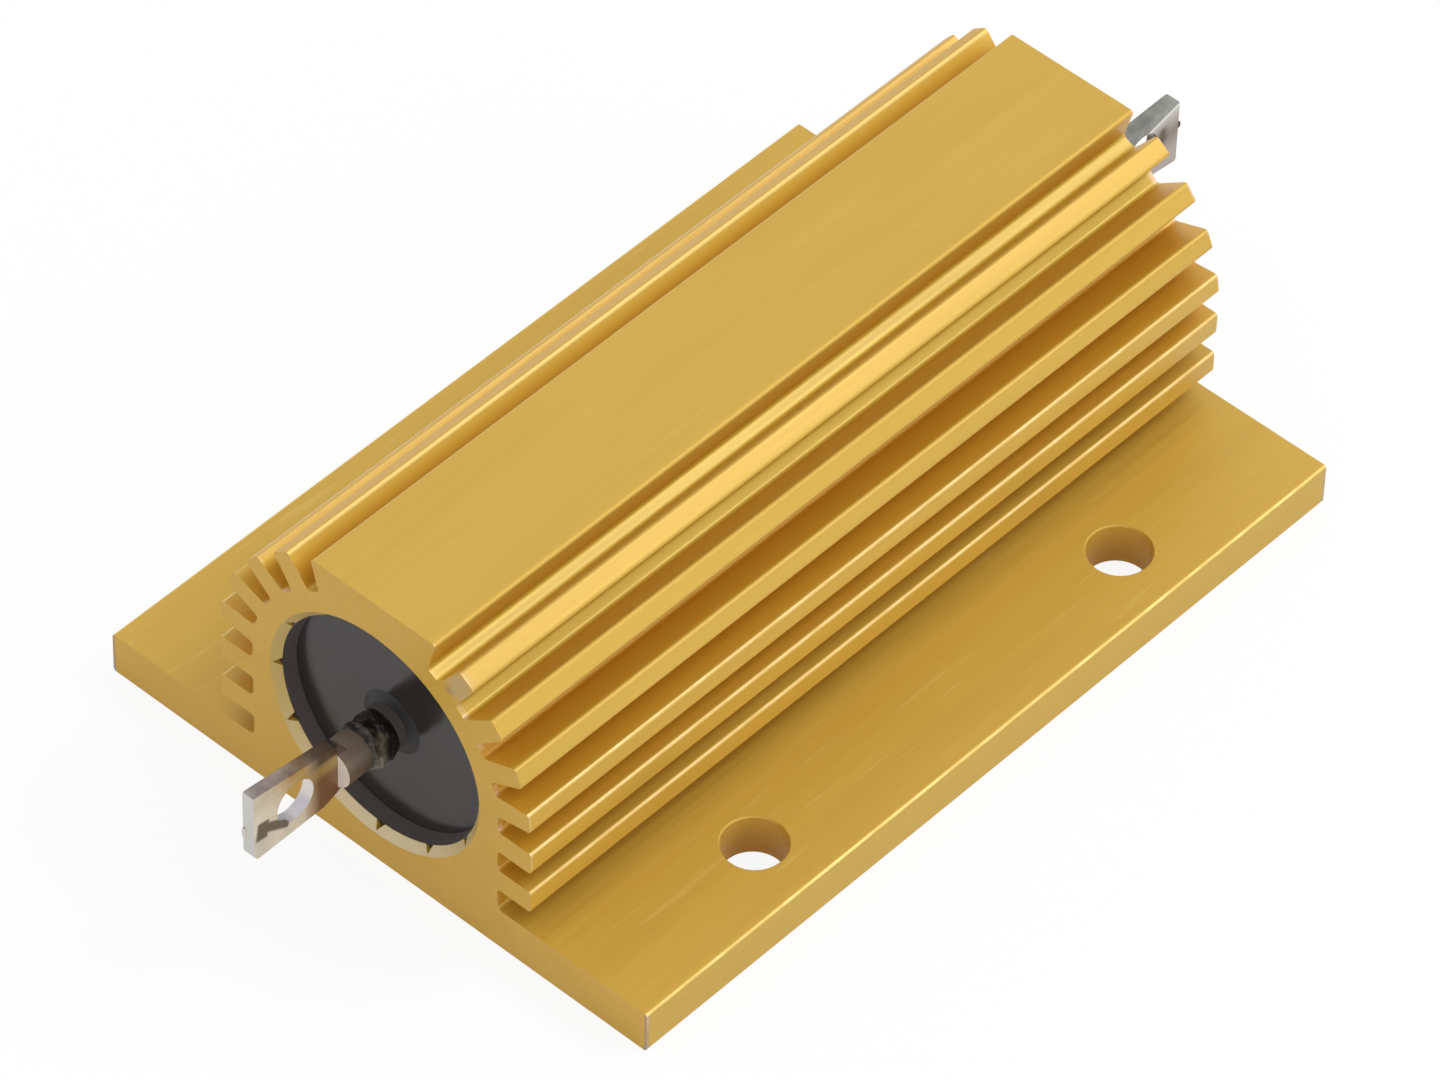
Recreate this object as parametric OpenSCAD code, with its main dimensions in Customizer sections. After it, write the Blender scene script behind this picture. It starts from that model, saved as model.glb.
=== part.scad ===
// Aluminium housed power resistor, 100 W size.
// A wound ceramic core is potted in silicone inside a finned aluminium extrusion, and the
// extrusion bolts to a chassis or heatsink through the four holes in its base flanges.
// X runs along the extrusion, Y across it, and Z up from the mounting face.
// The origin is the centre of the mounting face.

/* [Extrusion] */
// Length of the extruded housing
housing_length = 65.2; // [50:0.1:120]
// Height from the mounting face to the top land
housing_height = 23.5; // [22.5:0.1:30]
// Width over the two base flanges
base_width = 46.7; // [42:0.1:70]
// Thickness of the base flanges
base_thickness = 3.4; // [2:0.1:4.5]
// Width of the flat land on top
land_width = 10.7; // [8:0.1:12]
// Height of the bore axis above the mounting face
axis_height = 11.4; // [11.2:0.1:14]
// Radius of the slot floors about the bore axis
root_radius = 10.6; // [9.6:0.1:11]
// Radius of the fin tips about the bore axis
tip_radius = 13.45; // [12:0.05:14]

/* [Fins] */
// Number of fins on each side that point away from the bore axis
radial_fins = 4; // [2:1:4]
// Angle of the highest fin above the horizontal
top_fin_angle = 53.6; // [50:0.1:56]
// Angle from one radial fin to the next
fin_pitch = 15.2; // [13:0.1:16]
// Thickness of a fin at its root
fin_root = 1.75; // [1.2:0.05:2]
// Thickness of a fin at its tip
fin_tip = 1.5; // [1:0.05:2]
// Thickness of the level fins below the radial ones
level_fin = 1.8; // [1.2:0.05:2]
// Height of the lower level fin's middle
lower_fin_height = 6.15; // [5.8:0.05:6.4]
// Height of the upper level fin's middle
upper_fin_height = 9.7; // [9.2:0.05:9.9]
// Rounding of the fin tips
tip_round = 0.25; // [0.05:0.05:0.5]
// Rounding in the floors of the slots
root_round = 0.3; // [0.05:0.05:0.5]
// Rounding of the flange's and land's outer corners
edge_round = 0.25; // [0.05:0.05:0.6]

/* [Mounting holes] */
// Hole spacing along the housing
hole_spacing_x = 35; // [25:0.5:45]
// Hole spacing across the housing
hole_spacing_y = 37; // [35:0.1:38]
// Diameter of the four holes
hole_diameter = 4.4; // [3:0.1:5]
// Width of the deburred edge round each hole
hole_deburr = 0.1; // [0.05:0.05:0.3]

/* [Bore] */
// Diameter of the bore
bore_diameter = 17; // [16:0.1:17.6]
// Number of V keyways along the bore
keyways = 12; // [6:1:16]
// Depth of a keyway
keyway_depth = 0.45; // [0.2:0.05:0.6]
// Width of a keyway at the bore wall
keyway_width = 0.7; // [0.4:0.05:1]
// Depth of the 45 degree countersink at each mouth
countersink = 0.55; // [0.3:0.05:0.8]

/* [Moulding] */
// Depth of the compound's flat end face below the housing's end
recess = 1.6; // [1.2:0.1:3]
// Thickness of the compound's skin where it starts up the bore wall, above which it thins out
skin = 0.2; // [0.1:0.05:0.5]
// Radius of the low mound round the pin
mound_radius = 2.4; // [2:0.1:3]
// Height of the mound
mound_height = 0.3; // [0.1:0.1:0.5]
// How far the compound's collar climbs the pin above the end face
collar_height = 1; // [0.6:0.1:2]
// Thickness of the collar
collar_wall = 0.15; // [0.1:0.05:0.4]
// Clearance between the compound and what it bonds to
bond_gap = 0.02; // [0.01:0.01:0.05]

/* [Wound core] */
// Diameter of the ceramic tube
core_diameter = 12; // [10:0.1:12.4]
// Diameter of the hole through the ceramic tube
core_hole = 5; // [3:0.1:7]
// Wall of the end caps
cap_wall = 0.5; // [0.3:0.05:0.7]
// Thickness of the end caps' closed ends
cap_end = 0.8; // [0.5:0.1:1.2]
// Length of ceramic that each cap covers
cap_grip = 5.2; // [3:0.1:8]
// Thickness of compound between a cap's face and the flat end face
cover_depth = 2.7; // [2:0.1:5]
// Diameter of the resistance wire
wire_diameter = 0.6; // [0.3:0.05:0.8]
// Clearance between the wire and the compound round it
wire_clearance = 0.1; // [0.05:0.05:0.2]
// Number of turns
turns = 18; // [6:1:24]
// Clearance between the caps, the wire and the ceramic
wound_gap = 0.02; // [0.01:0.01:0.05]

/* [Terminals] */
// Diameter of the round pin
pin_diameter = 3; // [2:0.1:4]
// Diameter of the pin's welded foot
foot_diameter = 5; // [4.2:0.1:8]
// Thickness of the pin's welded foot
foot_thickness = 0.8; // [0.4:0.1:1.2]
// How far each terminal stands out past the housing's end
terminal_reach = 11.1; // [9:0.1:20]
// Length of the flattened lug
lug_length = 7.4; // [6:0.1:12]
// Thickness of the flattened lug
lug_thickness = 0.95; // [0.5:0.05:1.5]
// Width of the lug beside the pin
lug_width = 4.6; // [4:0.1:6]
// How far the lug's splayed side widens by its tip
lug_splay = 1; // [0:0.1:1.5]
// Diameter of the lug's hole
lug_hole = 3.2; // [2:0.1:3.4]
// Distance from the hole's middle to the lug's tip
lug_hole_edge = 3.65; // [3:0.05:4.5]
// Rounding of the lug's splayed corner
splay_round = 0.2; // [0.1:0.1:1]
// Rounding of the corner across the tip from it
lug_round = 0.5; // [0.1:0.1:1]

/* [Hidden] */
$fn = 96;

arc_steps = 4;
wire_sides = 6;
steps_per_turn = 18;
past = 1;

end_x = housing_length / 2;
tip_x = end_x + terminal_reach;
bore_radius = bore_diameter / 2;
core_radius = core_diameter / 2;
pin_radius = pin_diameter / 2;
cap_radius = core_radius + wound_gap + cap_wall;

// Places along X, all measured from the middle towards one end
face_x = end_x - recess;
skin_x = end_x - countersink - bond_gap;
cap_face_x = face_x - cover_depth;
core_end_x = cap_face_x - cap_end - wound_gap;
cap_rim_x = core_end_x - cap_grip;
shoulder_x = tip_x - lug_length;

// The chords between the helix's steps dip inwards, so its radius is raised to clear the core
wire_radius = wire_diameter / 2;
helix_radius = (core_radius + wire_radius + wound_gap) / cos(180 / steps_per_turn);
wound_radius = helix_radius + wire_radius + wire_clearance;

/* Outlines with rounded corners: each corner is [across, up, rounding] */

function unit(v) = v / norm(v);

function flat(p) = [p.x, p.y];

// The tangent arc that rounds the corner at b, between its neighbours a and c
function corner_arc(a, b, c) =
    let (to_a = flat(a) - flat(b),
         to_c = flat(c) - flat(b),
         u = unit(to_a),
         w = unit(to_c),
         half = acos(u * w) / 2,
         room = 0.45 * min(norm(to_a), norm(to_c)),
         reach = min(b.z / tan(half), room),
         r = reach * tan(half),
         centre = flat(b) + unit(u + w) * r / sin(half),
         start = flat(b) + u * reach - centre,
         from = atan2(start.y, start.x),
         turn = sign(u.x * w.y - u.y * w.x) * (half * 2 - 180))
    [for (i = [0 : arc_steps]) centre + r * [cos(from + turn * i / arc_steps),
                                             sin(from + turn * i / arc_steps)]];

function rounded(corners) =
    let (n = len(corners))
    [for (i = [0 : n - 1])
        each corner_arc(corners[(i + n - 1) % n], corners[i], corners[(i + 1) % n])];

/* Housing */

// A point given along and across a direction from the bore axis
function from_axis(angle, along, across, rounding) =
    [along * cos(angle) - across * sin(angle),
     axis_height + along * sin(angle) + across * cos(angle),
     rounding];

function on_circle(radius, across) = sqrt(radius * radius - across * across);

// Corners of a fin that points away from the bore axis, from its lower root to its upper one
function radial_fin(angle) =
    let (root = on_circle(root_radius, fin_root / 2),
         tip = on_circle(tip_radius, fin_tip / 2))
    [from_axis(angle, root, -fin_root / 2, root_round),
     from_axis(angle, tip, -fin_tip / 2, tip_round),
     from_axis(angle, tip, fin_tip / 2, tip_round),
     from_axis(angle, root, fin_root / 2, root_round)];

function level_fin_corners(height) =
    [[root_radius, height - level_fin / 2, root_round],
     [tip_radius, height - level_fin / 2, tip_round],
     [tip_radius, height + level_fin / 2, tip_round],
     [root_radius, height + level_fin / 2, root_round]];

// The land's side starts one slot floor above the highest fin
land_root_angle = top_fin_angle + fin_pitch - asin(fin_root / 2 / root_radius);

function side_corners() = [
    [base_width / 2, 0, edge_round],
    [base_width / 2, base_thickness, edge_round],
    [root_radius, base_thickness, root_round],
    each level_fin_corners(lower_fin_height),
    each level_fin_corners(upper_fin_height),
    for (i = [radial_fins - 1 : -1 : 0]) each radial_fin(top_fin_angle - i * fin_pitch),
    from_axis(land_root_angle, root_radius, 0, root_round),
    [land_width / 2, housing_height, edge_round]];

function reversed(list) = [for (i = [len(list) - 1 : -1 : 0]) list[i]];

module housing_section() {
    side = side_corners();
    other_side = [for (p = reversed(side)) [-p.x, p.y, p.z]];
    polygon(rounded(concat(side, other_side)));
}

// Stands a section drawn in Y and Z along X, centred on the middle of the housing
module along_x(length) {
    rotate([90, 0, 90]) linear_extrude(length, center = true) children();
}

// A cylinder, or a cone, on the bore axis from x1 to x2
module on_bore_axis(x1, x2, r1, r2) {
    translate([x1, 0, axis_height]) rotate([0, 90, 0]) cylinder(h = x2 - x1, r1 = r1, r2 = r2);
}

// The V keyways, or with a gap taken off the ribs that fill them
module key_section(gap) {
    base = bore_radius - 0.3;
    tip = bore_radius + keyway_depth - gap;
    half = (keyway_width / 2 - gap) * (tip - base) / (tip - bore_radius);
    for (i = [0 : keyways - 1])
        translate([0, axis_height]) rotate(-90 + i * 360 / keyways)
            polygon([[base, -half], [tip, 0], [base, half]]);
}

module mounting_hole() {
    radius = hole_diameter / 2;
    rim = radius + hole_deburr;
    rotate_extrude() polygon([
        [0, -past], [rim, -past], [rim, 0], [radius, hole_deburr],
        [radius, base_thickness - hole_deburr], [rim, base_thickness],
        [rim, base_thickness + past], [0, base_thickness + past]]);
}

module housing() {
    color("goldenrod") difference() {
        along_x(housing_length) housing_section();
        on_bore_axis(-end_x - past, end_x + past, bore_radius, bore_radius);
        along_x(housing_length + past) key_section(0);
        for (side = [0, 180]) rotate(side)
            on_bore_axis(end_x - countersink, end_x + past,
                         bore_radius, bore_radius + countersink + past);
        for (x = [-1, 1], y = [-1, 1])
            translate([x * hole_spacing_x / 2, y * hole_spacing_y / 2]) mounting_hole();
    }
}

/* Moulding */

// Half of the compound's profile, as [radius, distance along X], with the hollow for the core
function moulding_half() =
    [[wound_radius, 0],
     [wound_radius, cap_rim_x],
     [cap_radius + bond_gap, cap_rim_x],
     [cap_radius + bond_gap, cap_face_x + bond_gap],
     [foot_diameter / 2 + bond_gap, cap_face_x + bond_gap],
     [foot_diameter / 2 + bond_gap, cap_face_x + foot_thickness + bond_gap],
     [pin_radius + bond_gap, cap_face_x + foot_thickness + bond_gap],
     [pin_radius + bond_gap, face_x + collar_height],
     [pin_radius + collar_wall, face_x + collar_height],
     [pin_radius + collar_wall, face_x + mound_height],
     [mound_radius, face_x],
     [bore_radius - bond_gap - skin, face_x],
     [bore_radius - bond_gap, skin_x]];

module moulding() {
    half = moulding_half();
    other_half = [for (p = reversed(half)) [p.x, -p.y]];
    color("dimgray") union() {
        translate([0, 0, axis_height]) rotate([0, 90, 0])
            rotate_extrude() polygon(concat(half, other_half));
        along_x(2 * skin_x) difference() {
            key_section(bond_gap);
            translate([0, axis_height]) circle(r = bore_radius - 2 * bond_gap);
        }
    }
}

/* Wound core */

module core() {
    color("ivory") difference() {
        on_bore_axis(-core_end_x, core_end_x, core_radius, core_radius);
        on_bore_axis(-core_end_x - past, core_end_x + past, core_hole / 2, core_hole / 2);
    }
}

// Corner of the wire's section at one step of the helix
function wire_corner(step, side, steps) =
    let (turn = step * 360 / steps_per_turn,
         around = side * 360 / wire_sides,
         r = helix_radius + wire_radius * cos(around),
         reach = cap_rim_x - wire_radius - wound_gap,
         x = -reach + 2 * reach * step / steps + wire_radius * sin(around))
    [x, r * sin(turn), axis_height + r * cos(turn)];

module winding() {
    steps = turns * steps_per_turn;
    points = [for (i = [0 : steps], k = [0 : wire_sides - 1]) wire_corner(i, k, steps)];
    function at(i, k) = i * wire_sides + k % wire_sides;
    walls = [for (i = [0 : steps - 1], k = [0 : wire_sides - 1])
        each [[at(i, k), at(i, k + 1), at(i + 1, k + 1)],
              [at(i, k), at(i + 1, k + 1), at(i + 1, k)]]];
    start = [for (k = [wire_sides - 1 : -1 : 0]) at(0, k)];
    end = [for (k = [0 : wire_sides - 1]) at(steps, k)];
    color("peru") polyhedron(points, concat(walls, [start, end]));
}

module end_cap() {
    color("silver") difference() {
        on_bore_axis(cap_rim_x, cap_face_x, cap_radius, cap_radius);
        on_bore_axis(cap_rim_x - past, cap_face_x - cap_end,
                     core_radius + wound_gap, core_radius + wound_gap);
    }
}

/* Terminals */

// Corners of the flattened lug, as [along X, up from the bore axis, rounding]
function lug_corners() =
    let (half = lug_width / 2)
    [[shoulder_x - 1, 0.8 * pin_radius, 0.1],
     [shoulder_x - 1, -0.8 * pin_radius, 0.1],
     [shoulder_x, -half, 0.8],
     [tip_x, -half - lug_splay, splay_round],
     [tip_x, half + 0.1 * lug_splay, lug_round],
     [shoulder_x + 1.2, half, 1],
     [shoulder_x, 0.8 * half, 0.5]];

module terminal() {
    color("lightsteelblue") difference() {
        union() {
            on_bore_axis(cap_face_x, cap_face_x + foot_thickness,
                         foot_diameter / 2, foot_diameter / 2);
            on_bore_axis(cap_face_x, shoulder_x, pin_radius, pin_radius);
            translate([0, 0, axis_height]) rotate([90, 0, 0])
                linear_extrude(lug_thickness, center = true) polygon(rounded(lug_corners()));
        }
        translate([tip_x - lug_hole_edge, 0, axis_height - lug_splay / 4]) rotate([90, 0, 0])
            cylinder(h = lug_thickness + 2 * past, d = lug_hole, center = true);
    }
}

// The left end is the right end turned half round about Y through the bore axis
module at_left() {
    translate([0, 0, axis_height]) rotate([0, 180, 0]) translate([0, 0, -axis_height]) children();
}

housing();
moulding();
core();
winding();
at_left() end_cap();  // end_cap_left
end_cap();  // end_cap_right
at_left() terminal();  // terminal_left
terminal();  // terminal_right
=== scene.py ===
from math import radians

import bmesh
import bpy
from mathutils import Euler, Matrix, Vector, noise


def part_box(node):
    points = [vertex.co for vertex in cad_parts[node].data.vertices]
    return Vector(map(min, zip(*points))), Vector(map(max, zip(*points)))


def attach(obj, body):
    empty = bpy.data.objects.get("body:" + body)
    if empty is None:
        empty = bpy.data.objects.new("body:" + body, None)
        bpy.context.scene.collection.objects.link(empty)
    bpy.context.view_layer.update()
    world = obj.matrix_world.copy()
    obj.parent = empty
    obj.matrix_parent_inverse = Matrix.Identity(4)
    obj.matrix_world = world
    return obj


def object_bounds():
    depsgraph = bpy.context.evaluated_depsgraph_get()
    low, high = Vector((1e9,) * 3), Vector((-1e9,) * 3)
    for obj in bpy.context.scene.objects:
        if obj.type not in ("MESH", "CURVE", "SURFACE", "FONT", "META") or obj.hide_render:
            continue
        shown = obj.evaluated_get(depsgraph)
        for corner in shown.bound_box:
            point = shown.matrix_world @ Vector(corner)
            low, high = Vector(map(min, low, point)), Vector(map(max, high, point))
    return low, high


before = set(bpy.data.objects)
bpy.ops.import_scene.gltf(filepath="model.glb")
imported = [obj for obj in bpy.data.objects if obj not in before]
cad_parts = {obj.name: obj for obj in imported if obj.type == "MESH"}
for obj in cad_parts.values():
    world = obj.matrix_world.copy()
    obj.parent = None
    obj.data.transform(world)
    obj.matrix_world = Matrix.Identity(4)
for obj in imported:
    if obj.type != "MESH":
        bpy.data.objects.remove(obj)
cad_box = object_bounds()

# Ceramic core: a fired steatite tube that carries the winding.
# It is off-white and matt, with the fine specks of the pressed powder, and shows only in section.


def new_finish(name, colour, roughness, metallic=0.0):
    """A material, its node tree and its shader, with the constant values already set."""
    material = bpy.data.materials.new(name)
    material.use_nodes = True
    tree = material.node_tree
    shader = tree.nodes["Principled BSDF"]
    shader.inputs["Base Color"].default_value = (*colour, 1)
    shader.inputs["Roughness"].default_value = roughness
    shader.inputs["Metallic"].default_value = metallic
    return material, tree, shader


def surface_noise(tree, stretch, scale, detail=4.0):
    """Noise over the surface, in object coordinates stretched along each axis."""
    place = tree.nodes.new("ShaderNodeTexCoord")
    mapping = tree.nodes.new("ShaderNodeMapping")
    mapping.inputs["Scale"].default_value = stretch
    grain = tree.nodes.new("ShaderNodeTexNoise")
    grain.inputs["Scale"].default_value = scale
    grain.inputs["Detail"].default_value = detail
    tree.links.new(place.outputs["Object"], mapping.inputs["Vector"])
    tree.links.new(mapping.outputs["Vector"], grain.inputs["Vector"])
    return grain.outputs["Fac"]


def colour_band(tree, source, stops):
    """A colour ramp over a value, from a list of (position, colour)."""
    ramp = tree.nodes.new("ShaderNodeValToRGB")
    marks = ramp.color_ramp.elements
    while len(marks) < len(stops):
        marks.new(0.5)
    for mark, (position, colour) in zip(marks, stops):
        mark.position = position
        mark.color = (*colour, 1)
    tree.links.new(source, ramp.inputs["Fac"])
    return ramp.outputs["Color"]


def value_range(tree, source, low, high, start=0.3, end=0.7):
    """The value mapped from start..end to low..high."""
    span = tree.nodes.new("ShaderNodeMapRange")
    span.inputs["From Min"].default_value = start
    span.inputs["From Max"].default_value = end
    span.inputs["To Min"].default_value = low
    span.inputs["To Max"].default_value = high
    tree.links.new(source, span.inputs["Value"])
    return span.outputs["Result"]


def raised(tree, shader, height, distance):
    """Bump from a height, with its distance in metres."""
    bump = tree.nodes.new("ShaderNodeBump")
    bump.inputs["Distance"].default_value = distance
    tree.links.new(height, bump.inputs["Height"])
    tree.links.new(bump.outputs["Normal"], shader.inputs["Normal"])


def dress(names, material):
    """Gives CAD nodes a finished material."""
    for name in names:
        for material_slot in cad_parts[name].material_slots:
            material_slot.material = material


off_white = (0.79, 0.76, 0.66)
steatite, tree, shader = new_finish("steatite", off_white, 0.75)
specks = surface_noise(tree, (1, 1, 1), 2500)
tree.links.new(colour_band(tree, specks, [(0.35, (0.62, 0.57, 0.47)), (0.5, off_white)]),
               shader.inputs["Base Color"])
raised(tree, shader, specks, 0.00001)
dress(["core"], steatite)

# Winding: one layer of drawn resistance wire, wound as an even helix over the ceramic.
# The alloy is a dull coppery grey with fine draw lines along it.

alloy_wire, tree, shader = new_finish("alloy_wire", (0.42, 0.31, 0.23), 0.35, 1.0)
draw_lines = surface_noise(tree, (6, 1, 1), 900)
tree.links.new(colour_band(tree, draw_lines,
                           [(0.3, (0.30, 0.22, 0.16)), (0.7, (0.48, 0.36, 0.27))]),
               shader.inputs["Base Color"])
tree.links.new(value_range(tree, draw_lines, 0.28, 0.45), shader.inputs["Roughness"])
dress(["winding"], alloy_wire)

# End caps: cups of bright steel pressed over both ends of the core.
# Each carries the rings that the press tool leaves round it.

pressed_steel, tree, shader = new_finish("pressed_steel", (0.48, 0.47, 0.45), 0.3, 1.0)
press_rings = surface_noise(tree, (8, 0.4, 0.4), 500)
tree.links.new(value_range(tree, press_rings, 0.2, 0.42), shader.inputs["Roughness"])
raised(tree, shader, press_rings, 0.00001)
dress(["end_cap_left", "end_cap_right"], pressed_steel)

# Terminals: round tinned pins welded to the end caps, each flattened into a pierced lug.
# The press leaves the broad faces bright and the cut edges darker. The weld's heat has tinted
# the pin. The lug's root carries a painted reflection of the gold housing and the shoulder a
# painted highlight; a dark mark crosses the left lug, and the right one is worn and dull.


def worked_out(tree, operation, *values):
    """A Math node's result from values, each a number or another node's output."""
    step = tree.nodes.new("ShaderNodeMath")
    step.operation = operation
    for socket, value in zip(step.inputs, values):
        if isinstance(value, float):
            socket.default_value = value
        else:
            tree.links.new(value, socket)
    return step.outputs[0]


def product(tree, first, *others):
    """All the values multiplied."""
    for other in others:
        first = worked_out(tree, "MULTIPLY", first, other)
    return first


def along(tree, kind, axis, start, end, either_way=True):
    """From 0 at start to 1 at end: the part along an axis of the Normal or the Object place."""
    source = tree.nodes.new("ShaderNodeTexCoord")
    parts = tree.nodes.new("ShaderNodeSeparateXYZ")
    tree.links.new(source.outputs[kind], parts.inputs[0])
    part = parts.outputs[axis]
    if either_way:
        part = worked_out(tree, "ABSOLUTE", part)
    return value_range(tree, part, 0, 1, start, end)


def within(tree, centre, reach, turn=0.0, soft=0.0001):
    """1 inside a box of half sizes about a point, turned about Y, and 0 past a soft edge."""
    place = tree.nodes.new("ShaderNodeTexCoord")
    mapping = tree.nodes.new("ShaderNodeMapping")
    mapping.vector_type = "TEXTURE"
    mapping.inputs["Location"].default_value = centre
    mapping.inputs["Rotation"].default_value = (0, turn, 0)
    parts = tree.nodes.new("ShaderNodeSeparateXYZ")
    tree.links.new(place.outputs["Object"], mapping.inputs["Vector"])
    tree.links.new(mapping.outputs["Vector"], parts.inputs[0])
    return product(tree, *(value_range(tree, worked_out(tree, "ABSOLUTE", parts.outputs[axis]),
                                       1, 0, half - soft, half + soft)
                           for axis, half in zip("XYZ", reach)))


def painted(tree, tone, layers):
    """The tone under layers of (share, colour), each laid over the ones before it."""
    for share, colour in layers:
        mix = tree.nodes.new("ShaderNodeMix")
        mix.data_type = "RGBA"
        tree.links.new(share, mix.inputs["Factor"])
        for letter, paint in (("A", tone), ("B", colour)):
            socket = [i for i in mix.inputs if i.name == letter and i.type == "RGBA"][0]
            if isinstance(paint, tuple):
                socket.default_value = (*paint, 1)
            else:
                tree.links.new(paint, socket)
        tone = [o for o in mix.outputs if o.type == "RGBA"][0]
    return tone


low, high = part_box("core")
bore_height = (low[2] + high[2]) / 2
lug_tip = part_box("terminal_right")[1][0]
hole_centre, hole_reach = lug_tip - 0.0036, 0.002
front_face = -0.0005

tin, tree, shader = new_finish("tin", (0.62, 0.56, 0.49), 0.22, 1.0)
tin_flow = surface_noise(tree, (1, 1, 1), 500)
face_tone = colour_band(tree, tin_flow, [(0.3, (0.68, 0.61, 0.49)), (0.6, (0.83, 0.76, 0.62))])
edge_tone = colour_band(tree, tin_flow, [(0.35, (0.22, 0.18, 0.17)), (0.65, (0.42, 0.38, 0.36))])
dull_tone = colour_band(tree, tin_flow, [(0.35, (0.17, 0.16, 0.15)), (0.65, (0.32, 0.33, 0.29))])
# Painted reflection of the gold housing on the lug's root: gold-brown across the middle, darker
# brown below and above.
housing_reflection_tint = colour_band(tree, along(tree, "Object", "Z", 0.0095, 0.0140, either_way=False),
                        [(0.0, (0.27, 0.15, 0.08)), (0.5, (0.29, 0.17, 0.09)),
                         (0.64, (0.46, 0.33, 0.12)), (0.76, (0.42, 0.31, 0.13)),
                         (0.84, (0.17, 0.12, 0.09))])
worn_tone = colour_band(tree, along(tree, "Object", "Z", 0.0095, 0.0133, either_way=False),
                        [(0.0, (0.42, 0.36, 0.33)), (0.45, (0.25, 0.205, 0.17)),
                         (0.75, (0.44, 0.40, 0.36)), (1.0, (0.60, 0.58, 0.55))])

pin = along(tree, "Object", "X", lug_tip - 0.0073, lug_tip - 0.0074)
root = along(tree, "Object", "X", lug_tip - 0.0044, lug_tip - 0.0058)
tip = along(tree, "Object", "X", lug_tip - 0.0007, lug_tip - 0.0005)
right_lug = along(tree, "Object", "X", 0.03, 0.0301, either_way=False)
cut_ends = along(tree, "Normal", "X", 0.7, 0.9)
cut_edges = along(tree, "Normal", "Z", 0.4, 0.7)
shoulder = product(tree, cut_ends, root)
hole_wall = product(tree, along(tree, "Normal", "Y", 0.6, 0.3),
                    along(tree, "Object", "X", hole_centre + hole_reach,
                          hole_centre + hole_reach - 0.0002),
                    along(tree, "Object", "X", hole_centre - hole_reach,
                          hole_centre - hole_reach + 0.0002),
                    within(tree, (0, 0, bore_height), (0.05, 0.001, hole_reach)))

# The root's cut edges are painted darker brown along with the painted reflection.
edge_tone = painted(tree, edge_tone, [(root, (0.17, 0.13, 0.10))])
bruise = within(tree, (0.0421, front_face, 0.0114), (0.0004, 0.0003, 0.0007), soft=0.0003)
slope = radians(-14)
dull_corner = within(tree, (0.04135, front_face, 0.01385), (0.004, 0.0003, 0.001), slope)
# A painted highlight runs along the right lug's front face.
crease_highlight = within(tree, (0.0415, front_face, 0.0128), (0.0024, 0.0003, 0.00008), slope)
worn_tone = painted(tree, worn_tone, [(bruise, (0.10, 0.07, 0.055)), (dull_corner, dull_tone),
                                      (crease_highlight, (0.85, 0.83, 0.82)), (cut_edges, dull_tone)])
# A dark L-shaped mark is painted across the left lug's face, in two parts.
dark_mark = (0.17, 0.13, 0.09)
dark_mark_head = within(tree, (-0.04295, -0.0004, 0.01125), (0.0005, 0.0003, 0.00075), radians(8))
dark_mark_tail = within(tree, (-0.0416, -0.0004, 0.01075), (0.00115, 0.0003, 0.0004), radians(28))
# The shoulder's pale colour, made matt below, is a painted highlight.
lug_tone = painted(tree, face_tone, [
    (root, housing_reflection_tint), (cut_edges, edge_tone), (hole_wall, (0.62, 0.60, 0.64)),
    (pin, (0.29, 0.235, 0.195)), (right_lug, worn_tone), (shoulder, (0.98, 0.89, 0.80)),
    (product(tree, cut_ends, tip), (0.60, 0.59, 0.56)), (dark_mark_head, dark_mark), (dark_mark_tail, dark_mark)])
tree.links.new(lug_tone, shader.inputs["Base Color"])

matt = worked_out(tree, "MAXIMUM", hole_wall, shoulder)
tree.links.new(value_range(tree, matt, 1, 0.2, 0, 1), shader.inputs["Metallic"])
root_faces = product(tree, root, along(tree, "Normal", "X", 0.9, 0.7))
tree.links.new(worked_out(tree, "MULTIPLY_ADD", root_faces, 0.22,
                          value_range(tree, tin_flow, 0.2, 0.32)),
               shader.inputs["Roughness"])
raised(tree, shader, tin_flow, 0.00003)
dress(["terminal_left", "terminal_right"], tin)

# Cropping nibs: the small shear tab that the cropping tool leaves on the tip of each lug.
# It is part of the lug's metal, bright on the left lug and dulled where it tore on the right.

torn_metal, tree, shader = new_finish("torn_metal", (0.025, 0.022, 0.02), 0.5, 0.5)
raised(tree, shader, surface_noise(tree, (1, 1, 1), 6000), 0.00003)

corner_share = 0.28
for side, metal, size, across, height in (
        ("left", tin, (0.0002, 0.0003, 0.0009), 0.00038, 0.01105),
        ("right", torn_metal, (0.0007, 0.0003, 0.0005), -0.0003, 0.0112)):
    low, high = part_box(f"terminal_{side}")
    tip_face = low[0] if side == "left" else high[0]
    shape = bmesh.new()
    bmesh.ops.create_cube(shape, size=1)
    bmesh.ops.bevel(shape, geom=shape.edges, offset=corner_share, offset_type="OFFSET",
                    affect="EDGES", segments=2, profile=0.5, material=-1)
    bmesh.ops.scale(shape, verts=shape.verts, vec=size)
    bmesh.ops.translate(shape, verts=shape.verts, vec=(tip_face, across, height))
    nib = bpy.data.objects.new(f"cropping_nib_{side}", bpy.data.meshes.new("cropping_nib"))
    shape.to_mesh(nib.data)
    nib.data.materials.append(metal)
    bpy.context.collection.objects.link(nib)
    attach(nib, "root")

# Moulding: grey silicone compound poured round the wound core, which it holds in the bore.
# It sets with a flat and glossy face at each end, and its ribs fill the keyways.

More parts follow.
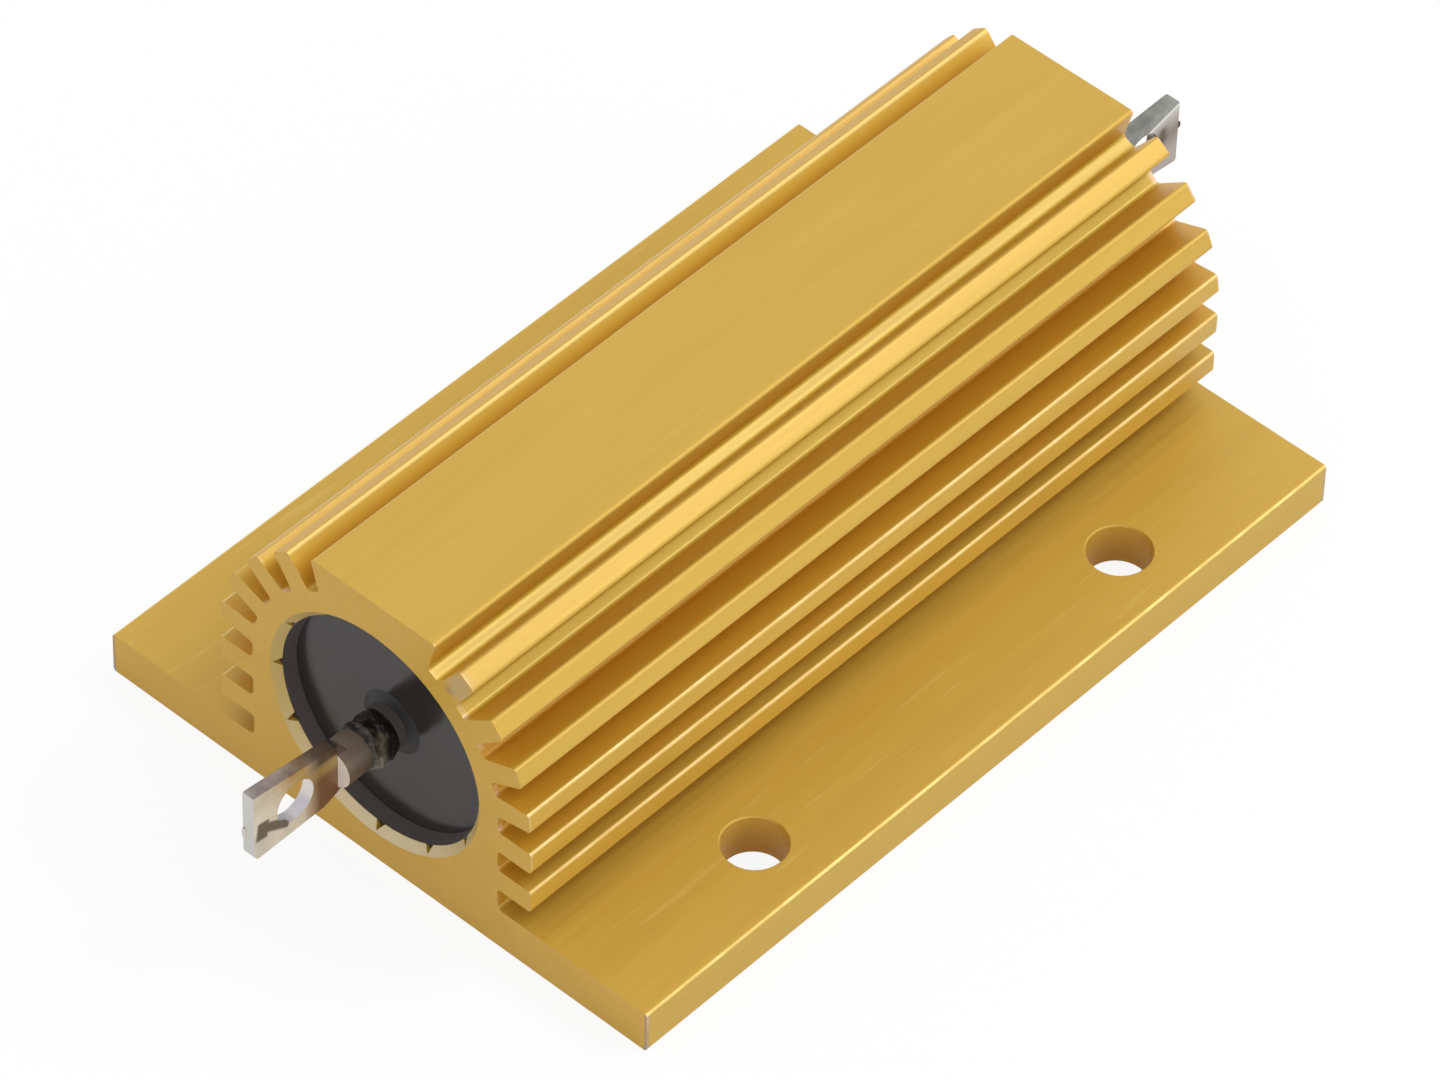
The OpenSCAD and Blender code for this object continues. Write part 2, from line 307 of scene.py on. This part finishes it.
silicone, tree, shader = new_finish("silicone", (0.024, 0.020, 0.019), 0.13)
shader.inputs["Specular IOR Level"].default_value = 0.4
ripple = surface_noise(tree, (1, 1, 1), 260)
cured_tone = colour_band(tree, ripple,
                         [(0.3, (0.021, 0.018, 0.017)), (0.7, (0.028, 0.024, 0.023))])
sloping = along(tree, "Normal", "X", 0.99, 0.96)
smeared = along(tree, "Normal", "X", 0.5, 0.2)
tree.links.new(painted(tree, cured_tone, [(sloping, (0.012, 0.011, 0.010)),
                                          (smeared, (0.088, 0.073, 0.070))]),
               shader.inputs["Base Color"])
tree.links.new(value_range(tree, sloping, 0.18, 0.5, 0, 1), shader.inputs["Roughness"])
raised(tree, shader, ripple, 0.00001)
dress(["moulding"], silicone)

# Burnt compound: a rough crust of cured compound and flux that clings to each pin just
# outside the moulding's collar, black and brown with olive patches and a flap on one side.

crust, tree, shader = new_finish("crust", (0.06, 0.045, 0.03), 0.38)
flakes = surface_noise(tree, (1, 1, 1), 700, 5.0)
tree.links.new(colour_band(tree, flakes,
                           [(0.46, (0.006, 0.004, 0.003)), (0.54, (0.022, 0.015, 0.010)),
                            (0.60, (0.07, 0.06, 0.035)), (0.70, (0.15, 0.135, 0.09))]),
               shader.inputs["Base Color"])
raised(tree, shader, flakes, 0.0001)

bore_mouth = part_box("housing")[1][0]
pin_radius = 0.0015
inner_skin = 0.00001
thin_edge = 0.00002
crust_profile = [(-0.0006, thin_edge), (-0.0004, 0.00008), (0.0000, 0.00012), (0.0005, 0.00008),
                 (0.0010, 0.00012), (0.0013, 0.00008), (0.0016, thin_edge)]
flap_way, flap_start, flap_growth = Vector((0, -0.86, -0.5)), 0.8, 12
lump_scale, flake_scale = 1300, 3500
for side, way in (("left", -1), ("right", 1)):
    shape = bmesh.new()
    rim = [shape.verts.new((way * (bore_mouth + x), 0, pin_radius + build_up))
           for x, build_up in crust_profile]
    rim += [shape.verts.new((way * (bore_mouth + x), 0, pin_radius + inner_skin))
            for x in (crust_profile[-1][0], crust_profile[0][0])]
    ring = [shape.edges.new((a, b)) for a, b in zip(rim, rim[1:] + rim[:1])]
    bmesh.ops.subdivide_edges(shape, edges=ring[:len(crust_profile) - 1], cuts=3)
    bmesh.ops.spin(shape, geom=shape.verts[:] + shape.edges[:], axis=(1, 0, 0), cent=(0, 0, 0),
                   dvec=(0, 0, 0), angle=radians(360), steps=80, use_merge=True)
    for vert in shape.verts:
        out = Vector((0, vert.co.y, vert.co.z))
        build_up = out.length - pin_radius
        if build_up > thin_edge:
            lump = noise.noise(vert.co * lump_scale + Vector((way, 0, 0)))
            flake = noise.noise(vert.co * flake_scale)
            flap = max(0, out.normalized().dot(flap_way) - flap_start) * flap_growth
            vert.co += out.normalized() * build_up * (lump + 0.5 * flake + flap)
    bmesh.ops.recalc_face_normals(shape, faces=shape.faces)
    bmesh.ops.translate(shape, verts=shape.verts, vec=(0, 0, bore_height))
    flash = bpy.data.objects.new(f"burnt_compound_{side}", bpy.data.meshes.new("burnt_compound"))
    shape.to_mesh(flash.data)
    flash.data.materials.append(crust)
    bpy.context.collection.objects.link(flash)
    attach(flash, "root")

# Housing: an aluminium extrusion, sawn to length, drilled, countersunk and gold anodised.
# The die leaves faint lines along it and the saw duller end faces. The slots are painted a deeper
# orange as painted shade, the drilled holes carry painted light and shade, and painted highlights
# run along the rounded edges. The metal shows pale in scratches and where the ends were cut last.


def off_axis(tree, start, end):
    """From 0 at start to 1 at end: the distance from the bore's axis."""
    place = tree.nodes.new("ShaderNodeTexCoord")
    mapping = tree.nodes.new("ShaderNodeMapping")
    mapping.inputs["Location"].default_value = (0, 0, -bore_height)
    mapping.inputs["Scale"].default_value = (0, 1, 1)
    size = tree.nodes.new("ShaderNodeVectorMath")
    size.operation = "LENGTH"
    tree.links.new(place.outputs["Object"], mapping.inputs["Vector"])
    tree.links.new(mapping.outputs["Vector"], size.inputs[0])
    return value_range(tree, size.outputs["Value"], 0, 1, start, end)


gold, tree, shader = new_finish("gold_anodised", (0.57, 0.353, 0.04), 0.56, 0.45)
shader.inputs["Coat Weight"].default_value = 0.45
shader.inputs["Coat Roughness"].default_value = 0.35
die_lines = surface_noise(tree, (0.02, 1, 1), 2600, 3.0)
streaks = surface_noise(tree, (0.12, 1, 1), 260, 2.0)
saw_marks = surface_noise(tree, (1, 0.5, 1), 350, 2.0)
burrs = surface_noise(tree, (1, 1, 1), 450, 3.0)
scratches = surface_noise(tree, (0.05, 1, 1), 2200, 2.0)

# Where each surface lies: heights are above the mounting face, radii are from the bore's axis.
end, side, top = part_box("housing")[1]
base_top = 0.0034
mouth_radius, floor_radius, tip_radius = 0.0095, 0.0106, 0.01345
top_slots, radial_fins = 0.0185, 0.0150
sawn = along(tree, "Normal", "X", 0.9, 0.98)
countersunk = product(tree, along(tree, "Normal", "X", 0.55, 0.6),
                      along(tree, "Normal", "X", 0.85, 0.8),
                      along(tree, "Object", "X", end - 0.0016, end - 0.0011))
drilled = product(tree, along(tree, "Object", "X", end - 0.0004, end - 0.0006),
                  along(tree, "Object", "Y", side - 0.00035, side - 0.00055),
                  along(tree, "Object", "Z", base_top, base_top - 0.0001),
                  along(tree, "Normal", "Z", 0.6, 0.4))
outside = product(tree, off_axis(tree, mouth_radius, mouth_radius + 0.0002),
                  along(tree, "Normal", "X", 0.5, 0.2))
slots = product(tree, outside, off_axis(tree, tip_radius - 0.00025, tip_radius - 0.00045),
                along(tree, "Object", "Z", top - 0.0005, top - 0.0010, either_way=False),
                along(tree, "Object", "Z", base_top, base_top + 0.0002))
slot_floors = off_axis(tree, floor_radius + 0.0003, floor_radius + 0.0001)
lit_floors = product(tree, slots, slot_floors,
                     along(tree, "Object", "Z", top_slots - 0.0002, top_slots + 0.0002))
high_fins = product(tree, outside,
                    along(tree, "Object", "Y", 0.0058, 0.0062, either_way=False),
                    along(tree, "Object", "Z", 0.0170, 0.0175, either_way=False))
highlit_inner_walls = product(tree, slots, high_fins,
                      off_axis(tree, tip_radius - 0.00135, tip_radius - 0.00065))
shaded_tip_faces = product(tree, high_fins,
                    off_axis(tree, tip_radius - 0.0001, tip_radius - 0.00003))
tip_edge_highlights = product(tree, high_fins,
                    off_axis(tree, tip_radius - 0.00045, tip_radius - 0.00025),
                    off_axis(tree, tip_radius - 0.00003, tip_radius - 0.0001),
                    value_range(tree, along(tree, "Object", "Z", 0.0210, 0.0216), 0.25, 1, 0, 1))
base_sides = product(tree, along(tree, "Normal", "Y", 0.9, 0.98),
                     along(tree, "Object", "Y", side - 0.00025, side - 0.00015))
rounded = product(tree, along(tree, "Normal", "Z", 0.4, 0.55),
                  along(tree, "Normal", "Z", 0.96, 0.9),
                  along(tree, "Object", "Z", radial_fins + 0.0002, radial_fins),
                  along(tree, "Object", "Y", 0.0125, 0.0127),
                  value_range(tree, burrs, 0.4, 0.9, 0.4, 0.6))
fin_edge_highlights = product(tree, rounded,
                    along(tree, "Object", "Z", base_top + 0.0002, base_top + 0.0004))
base_edge_highlights = product(tree, rounded,
                     along(tree, "Object", "Y", side - 0.00075, side - 0.00055))
corners = product(tree, along(tree, "Object", "X", end - 0.00025, end - 0.0002),
                  along(tree, "Object", "Y", side - 0.00025, side - 0.0002),
                  along(tree, "Normal", "Z", 0.5, 0.3))
scratched = product(tree, value_range(tree, scratches, 0, 0.25, 0.65, 0.74),
                    along(tree, "Object", "Z", base_top + 0.0002, base_top + 0.0001),
                    along(tree, "Normal", "Z", 0.9, 0.98))
end_rims = product(tree, outside, along(tree, "Object", "X", end - 0.0002, end - 0.0001),
                   along(tree, "Normal", "Z", 0.95, 0.85),
                   value_range(tree, burrs, 0, 0.45, 0.45, 0.6))
bare_corners = product(tree, slot_floors, outside,
                       along(tree, "Object", "X", end - 0.0005, end - 0.0002),
                       along(tree, "Object", "Z", 0.0198, 0.0196, either_way=False),
                       value_range(tree, burrs, 0, 0.9, 0.42, 0.55))
stain = within(tree, (-end, -0.0073, 0.0213), (0.0003, 0.0009, 0.0011), soft=0.0003)
stain_spot = within(tree, (-end, -0.0065, 0.0204), (0.0003, 0.0002, 0.0002), soft=0.0003)

# The colour of each surface, laid over the plain faces in this order.
plain_tone = colour_band(tree, die_lines,
                         [(0.3, (0.555, 0.340, 0.036)), (0.7, (0.59, 0.370, 0.046))])
saw_tone = colour_band(tree, saw_marks,
                       [(0.3, (0.585, 0.345, 0.022)), (0.7, (0.615, 0.365, 0.032))])
sink_tone = colour_band(tree, along(tree, "Object", "Z", 0.002, 0.012, either_way=False),
                        [(0.1, (0.66, 0.54, 0.32)), (0.7, (0.58, 0.41, 0.12))])
# Painted reflection in the drilled holes: darker towards the bottom, lighter at the top.
hole_reflection_tone = colour_band(tree, along(tree, "Object", "Z", 0, base_top),
                         [(0.2, (0.52, 0.27, 0.01)), (0.9, (0.70, 0.42, 0.035))])
tone = painted(tree, plain_tone, [
    (value_range(tree, streaks, 0.25, 0, 0.35, 0.5), (0.50, 0.300, 0.028)),
    (sawn, saw_tone),
    (countersunk, sink_tone),
    (drilled, hole_reflection_tone),
    # Painted shade: the slots take a deeper orange for light bounced between the gold walls, and
    # the upper slot floors a lighter yellow as painted light.
    (slots, (0.59, 0.325, 0.022)),
    (lit_floors, (0.60, 0.42, 0.05)),
    # On the fins of the +Y side: painted highlights on the walls beside the tips and along the tip
    # edges, and painted shade on the tip faces.
    (highlit_inner_walls, (0.68, 0.43, 0.045)),
    (shaded_tip_faces, (0.52, 0.29, 0.002)),
    (tip_edge_highlights, (0.80, 0.57, 0.15)),
    (scratched, (0.74, 0.52, 0.16)),
    (base_sides, (0.53, 0.330, 0.022)),
    # Painted highlights, broken into sparkle, along the rounded edges of the fins and the base.
    (fin_edge_highlights, (0.76, 0.54, 0.20)),
    (base_edge_highlights, (0.80, 0.62, 0.20)),
    (corners, (0.43, 0.27, 0.115)),
    (product(tree, corners, along(tree, "Object", "Z", 0.0007, 0.0003)), (0.30, 0.29, 0.24)),
    (end_rims, (0.76, 0.56, 0.34)),
    (bare_corners, (0.76, 0.54, 0.34)),
    (stain, (0.54, 0.37, 0.13)),
    (stain_spot, (0.36, 0.20, 0.09))])
tree.links.new(tone, shader.inputs["Base Color"])
tree.links.new(value_range(tree, die_lines, 0.50, 0.62), shader.inputs["Roughness"])
raised(tree, shader, die_lines, 0.000004)
dress(["housing"], gold)

# Surroundings: a pale table and backdrop, which show white to the camera and in the metal and
# which take the part's shadow, three soft square lamps, and a camera with a long lens.

paper, tree, shader = new_finish("paper", (0.9, 0.9, 0.9), 0.9)
rays = tree.nodes.new("ShaderNodeLightPath")
seen_in_metal = worked_out(tree, "MULTIPLY", rays.outputs["Is Glossy Ray"], 0.4)
share = worked_out(tree, "MULTIPLY_ADD", rays.outputs["Is Camera Ray"], 0.9, seen_in_metal)
white = tree.nodes.new("ShaderNodeEmission")
white.inputs["Strength"].default_value = 1
blend = tree.nodes.new("ShaderNodeMixShader")
tree.links.new(share, blend.inputs["Fac"])
tree.links.new(shader.outputs[0], blend.inputs[1])
tree.links.new(white.outputs[0], blend.inputs[2])
tree.links.new(blend.outputs[0], tree.nodes["Material Output"].inputs["Surface"])

table_half = 3
table_drop = 0.00005
table = bpy.data.objects.new("table", bpy.data.meshes.new("table"))
table_top = bmesh.new()
bmesh.ops.create_grid(table_top, x_segments=1, y_segments=1, size=table_half)
bmesh.ops.translate(table_top, verts=table_top.verts, vec=(0, 0, cad_box[0][2] - table_drop))
table_top.to_mesh(table.data)
table.data.materials.append(paper)
bpy.context.collection.objects.link(table)

world = bpy.data.worlds.new("studio")
bpy.context.scene.world = world
world.use_nodes = True
tree = world.node_tree
rays = tree.nodes.new("ShaderNodeLightPath")
seen = worked_out(tree, "MAXIMUM", rays.outputs["Is Camera Ray"], rays.outputs["Is Glossy Ray"])
backdrop = tree.nodes["Background"]
backdrop.inputs["Color"].default_value = (1, 1, 1, 1)
tree.links.new(value_range(tree, seen, 0.79, 1.0, 0, 1), backdrop.inputs["Strength"])

for name, place, size, power in (("overhead", (0.50, -0.38, 0.75), 0.35, 3.6),
                                 ("side", (0.05, -0.8, 0.22), 0.6, 1.0),
                                 ("back", (0.35, 0.75, 0.2), 0.4, 0.5)):
    lamp = bpy.data.objects.new(name, bpy.data.lights.new(name, "AREA"))
    lamp.data.size = size
    lamp.data.energy = power
    lamp.location = place
    lamp.rotation_euler = (-Vector(place)).to_track_quat("-Z", "Y").to_euler()
    bpy.context.collection.objects.link(lamp)

camera = bpy.data.objects.new("camera", bpy.data.cameras.new("camera"))
camera.data.sensor_width = 36
camera.data.lens = 230.9
camera.data.clip_start = 0.01
camera.location = (-0.30880, -0.27146, 0.43627)
camera.rotation_euler = Euler([radians(angle) for angle in (43.568, -1.146, -47.423)])
bpy.context.collection.objects.link(camera)
bpy.context.scene.camera = camera
bpy.context.scene.view_settings.view_transform = "Standard"
